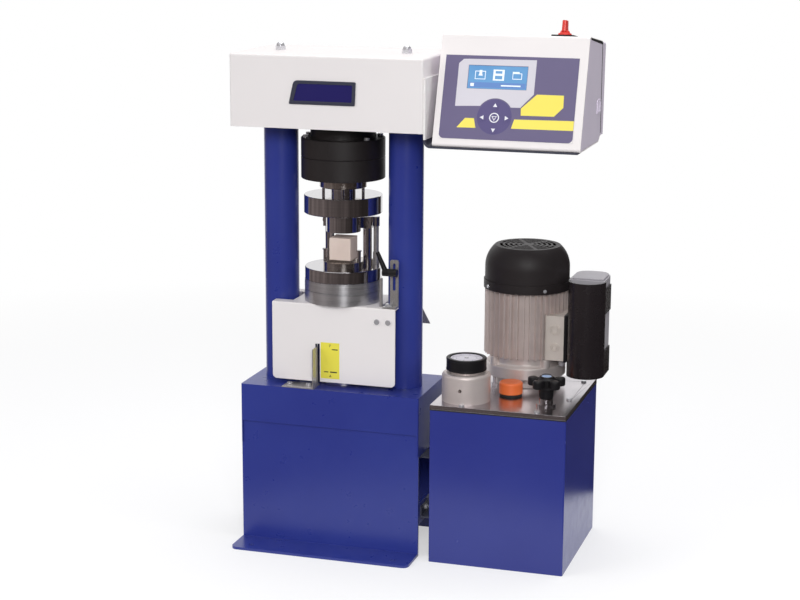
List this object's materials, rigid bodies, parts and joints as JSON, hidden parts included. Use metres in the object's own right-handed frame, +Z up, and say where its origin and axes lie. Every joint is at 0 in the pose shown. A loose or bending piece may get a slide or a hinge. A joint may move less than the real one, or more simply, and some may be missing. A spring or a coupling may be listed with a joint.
{
  "type": "compression testing machine",
  "caption": "Two-column hydraulic press for crushing mortar cubes, with a specimen jig, load cell, oil pump unit and tilted control console.",
  "frame": {"origin": "on the floor under the load axis, in the middle of the four floor bolt holes", "axes": "+Z up along the load axis, +X to the operator's right towards the pump unit, +Y to the back"},
  "size_m": [0.6628, 0.347, 0.9868],
  "materials": {
    "blue_paint": "gloss",
    "white_paint": "semi-gloss",
    "grey_paint": "satin",
    "black_coat": "satin",
    "machined_steel": "fine machined",
    "bright_steel": "polished",
    "stainless_sheet": "bright",
    "zinc_steel": "zinc plated",
    "cast_aluminium": "cast",
    "dark_iron": "as cast",
    "rubber": "matt",
    "black_plastic": "matt",
    "grey_plastic": "matt",
    "lilac_plastic": "matt",
    "overlay_foil": "satin",
    "display_foil": "gloss",
    "orange_plastic": "satin",
    "red_plastic": "satin",
    "mortar": "rough"
  },
  "bodies": {
    "frame": {"base_legs": "blue_paint", "base_side_rails": "blue_paint", "base_hood": "blue_paint", "columns": "blue_paint", "tank_shell": "blue_paint", "motor_bell": "blue_paint", "cylinder_block": "dark_iron", "crosshead_block": "dark_iron", "gear_pump": "dark_iron", "motor_stator": "dark_iron", "fasteners": "zinc_steel", "seals": "rubber", "crosshead_cover": "white_paint", "console_shell": "white_paint", "console_rear_cover": "white_paint", "tank_brackets": "black_coat", "console_bracket": "black_coat", "load_cell_lower": "black_coat", "load_cell_upper": "black_coat", "fan_cowl": "black_coat", "terminal_lid": "black_coat", "ball_seat": "bright_steel", "valve_body": "bright_steel", "cable_gland": "bright_steel", "stroke_pointer": "machined_steel", "regulator_body": "machined_steel", "tank_lid": "stainless_sheet", "motor_housing": "cast_aluminium", "terminal_box": "cast_aluminium", "capacitor_sleeve": "black_plastic", "capacitor_housing": "grey_plastic", "console_cheeks": "lilac_plastic", "console_overlay": "overlay_foil", "console_display": "display_foil", "switch_plate": "black_plastic", "mains_inlet": "black_plastic"},
    "ram": {"ram_piston": "bright_steel", "ram_drum": "machined_steel", "lower_platen": "bright_steel", "ram_cover": "white_paint", "cover_screws": "zinc_steel", "stop_bracket": "grey_paint", "jig_base": "bright_steel", "jig_posts": "bright_steel", "jig_spring_tube": "bright_steel"},
    "plunger": {"jig_plunger": "bright_steel"},
    "specimen": {"mortar_cube": "mortar"},
    "upper_platen_body": {"upper_platen": "bright_steel"},
    "carriage": {"stop_carriage": "black_coat"},
    "lever": {"clamp_lever": "black_plastic"},
    "regulator": {"regulator_knob": "black_plastic"},
    "filler": {"filler_cap": "orange_plastic"},
    "release": {"star_knob": "black_plastic"},
    "main_switch": {"switch_knob": "red_plastic"},
    "rotor": {"motor_rotor": "machined_steel"},
    "centre_button": {"key_centre": "overlay_foil"},
    "up_button": {"key_up": "overlay_foil"},
    "down_button": {"key_down": "overlay_foil"},
    "left_button": {"key_left": "overlay_foil"},
    "right_button": {"key_right": "overlay_foil"}
  },
  "joints": [
    {"name": "ram_stroke", "type": "slide", "parent": "frame", "child": "ram", "axis": [0, 0, 1], "range_m": [-0.004, 0.005]},
    {"name": "jig_plunger_slide", "type": "slide", "parent": "ram", "child": "plunger", "axis": [0, 0, 1], "range_m": [-0.0105, 0], "stiffness_N_per_m": 2000, "springref_m": 0.0045},
    {"name": "cube_slide", "type": "slide", "parent": "ram", "child": "specimen", "axis": [0, -1, 0], "range_m": [0, 0.12]},
    {"name": "platen_tilt", "type": "hinge", "parent": "frame", "child": "upper_platen_body", "pos_m": [0, 0, 0.6223], "axis": [0, 1, 0], "range_deg": [-2, 2], "stiffness_Nm_per_rad": 20},
    {"name": "stop_slide", "type": "slide", "parent": "ram", "child": "carriage", "axis": [0, 0, 1], "range_m": [-0.012, 0.009]},
    {"name": "clamp_turn", "type": "hinge", "parent": "carriage", "child": "lever", "pos_m": [0.098, -0.0502, 0.524], "axis": [1, 0, 0], "range_deg": [-15, 75]},
    {"name": "regulator_turn", "type": "hinge", "parent": "frame", "child": "regulator", "pos_m": [0.2504, -0.0456, 0.36], "axis": [0, 0, 1], "range_deg": [0, 300]},
    {"name": "filler_cap_lift", "type": "slide", "parent": "frame", "child": "filler", "axis": [0, 0, 1], "range_m": [0, 0.04]},
    {"name": "release_valve_turn", "type": "hinge", "parent": "frame", "child": "release", "pos_m": [0.3986, -0.0435, 0.34], "axis": [0, 0, 1], "range_deg": [0, 540]},
    {"name": "main_switch_turn", "type": "hinge", "parent": "frame", "child": "main_switch", "pos_m": [0.4065, 0.00468, 0.95157], "axis": [0, 0.1298, 0.9915], "range_deg": [0, 90]},
    {"name": "motor_spin", "type": "hinge", "parent": "frame", "child": "rotor", "pos_m": [0.323, 0.115, 0.4], "axis": [0, 0, 1], "continuous": true},
    {"name": "centre_key_press", "type": "slide", "parent": "frame", "child": "centre_button", "axis": [0, 0.9477, -0.3192], "range_m": [0, 0.0005], "stiffness_N_per_m": 1200},
    {"name": "up_key_press", "type": "slide", "parent": "frame", "child": "up_button", "axis": [0, 0.9477, -0.3192], "range_m": [0, 0.0005], "stiffness_N_per_m": 1200},
    {"name": "down_key_press", "type": "slide", "parent": "frame", "child": "down_button", "axis": [0, 0.9477, -0.3192], "range_m": [0, 0.0005], "stiffness_N_per_m": 1200},
    {"name": "left_key_press", "type": "slide", "parent": "frame", "child": "left_button", "axis": [0, 0.9477, -0.3192], "range_m": [0, 0.0005], "stiffness_N_per_m": 1200},
    {"name": "right_key_press", "type": "slide", "parent": "frame", "child": "right_button", "axis": [0, 0.9477, -0.3192], "range_m": [0, 0.0005], "stiffness_N_per_m": 1200}
  ]
}
